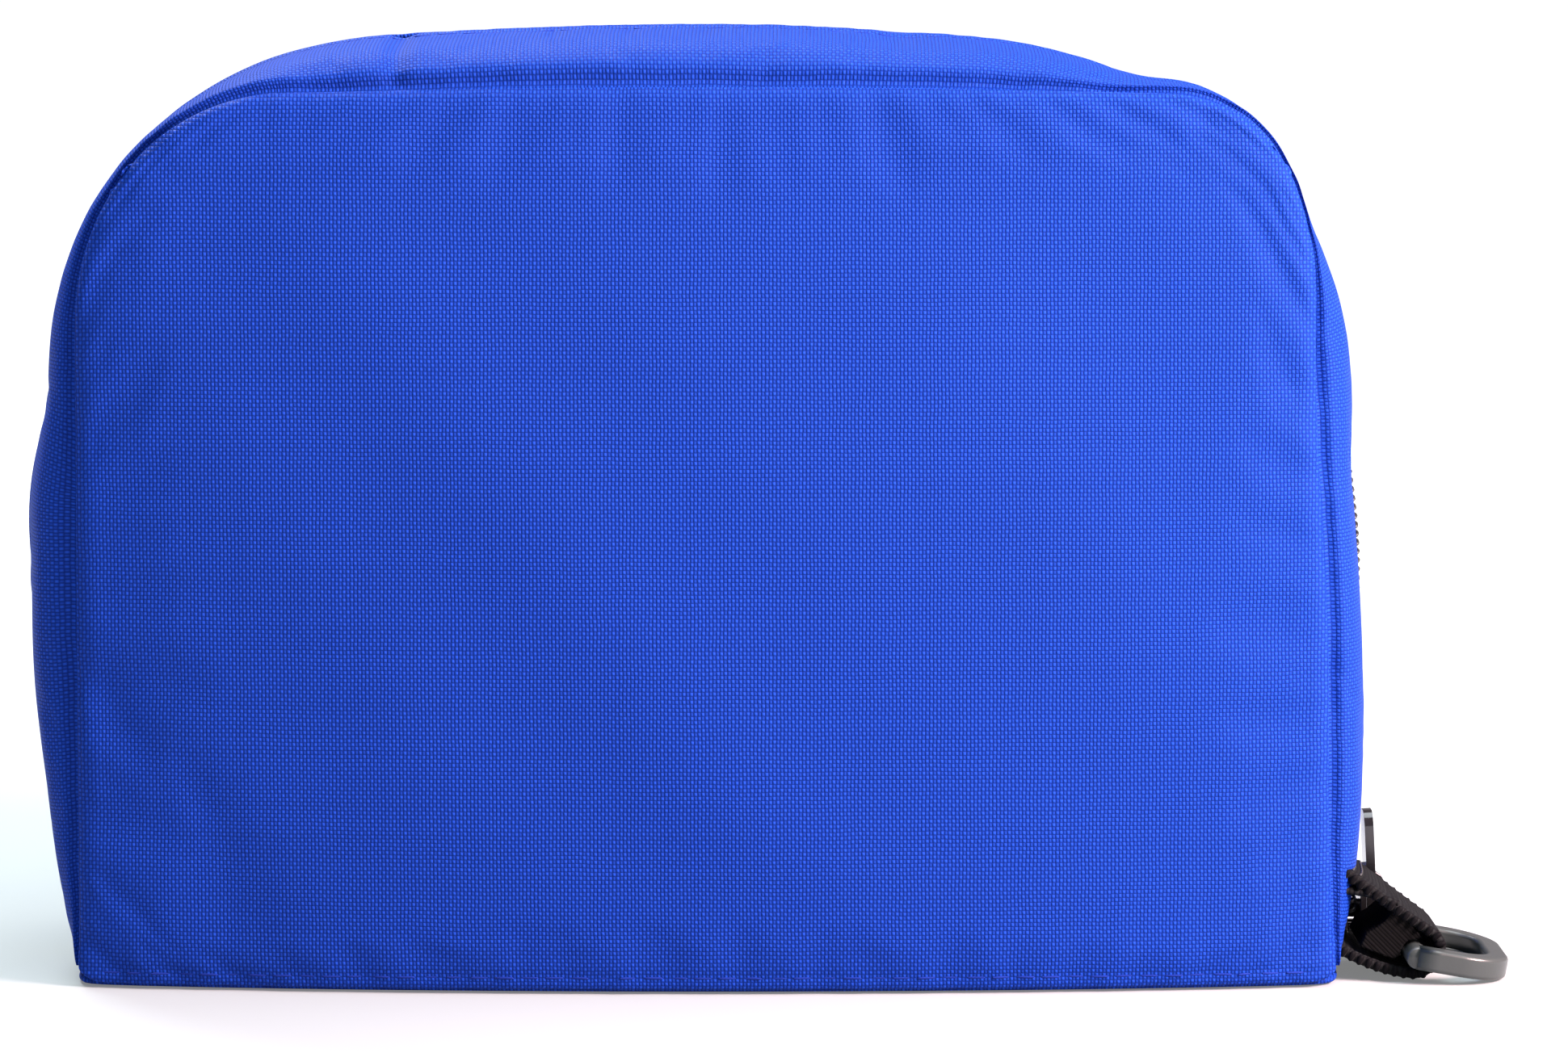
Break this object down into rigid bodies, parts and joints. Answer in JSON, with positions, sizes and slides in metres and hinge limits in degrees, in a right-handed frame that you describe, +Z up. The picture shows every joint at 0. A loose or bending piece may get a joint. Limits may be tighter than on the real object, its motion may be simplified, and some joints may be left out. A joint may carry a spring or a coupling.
{
  "type": "soft zipped carrying case",
  "caption": "Soft rounded-D zipped case standing upright, with padded panels, a bulging gusset, and a webbing tab with a D-ring at one lower corner.",
  "frame": {"origin": "middle of the case's flat underside", "axes": "+Z up, the front panel faces -Y, and the webbing tab with its D-ring is at the lower right, towards +X"},
  "size_m": [0.2386, 0.0762, 0.1547],
  "materials": {
    "cloth": "royal blue plain-weave polyester",
    "foam": "closed-cell foam sheet",
    "lining": "dark lining cloth",
    "binding": "woven seam binding",
    "board": "bottom board",
    "zipper_tape": "woven zipper tape",
    "zipper_coil": "nylon coil",
    "zipper_metal": "glossy black metal",
    "webbing": "black ribbed webbing",
    "ring": "satin dark grey moulded plastic"
  },
  "bodies": {
    "back_half": {"back_panel": "cloth", "back_foam": "foam", "back_lining": "lining", "back_gusset": "cloth", "back_gusset_lining": "lining", "back_seam_binding": "binding", "back_zipper_tape": "zipper_tape", "back_zipper_coil": "zipper_coil", "back_zipper_stop": "zipper_metal", "zipper_end_stop": "zipper_metal", "bottom_panel": "cloth", "bottom_board": "board", "bottom_lining": "lining"},
    "front_half": {"front_panel": "cloth", "front_foam": "foam", "front_lining": "lining", "front_gusset": "cloth", "front_gusset_lining": "lining", "front_seam_binding": "binding", "front_zipper_tape": "zipper_tape", "front_zipper_coil": "zipper_coil", "front_zipper_stop": "zipper_metal", "webbing_loop": "webbing", "tab_inner_strip": "webbing"},
    "slider": {"slider_body": "zipper_metal"},
    "pull": {"pull_tab": "zipper_metal"},
    "ring": {"d_ring": "ring"}
  },
  "joints": [
    {"name": "front_opens", "type": "hinge", "parent": "back_half", "child": "front_half", "pos_m": [0, -0.0405, 0.0015], "axis": [1, 0, 0], "range_deg": [0, 90]},
    {"name": "slider_runs", "type": "slide", "parent": "back_half", "child": "slider", "axis": [0, 0, 1], "range_m": [0, 0.05]},
    {"name": "pull_swings", "type": "hinge", "parent": "slider", "child": "pull", "pos_m": [0.1106, 0, 0.0084], "axis": [0, 1, 0], "range_deg": [0, 80]},
    {"name": "ring_lifts", "type": "hinge", "parent": "front_half", "child": "ring", "pos_m": [0.1146, -0.018, 0.0043], "axis": [0, -1, 0], "range_deg": [0, 95]}
  ]
}
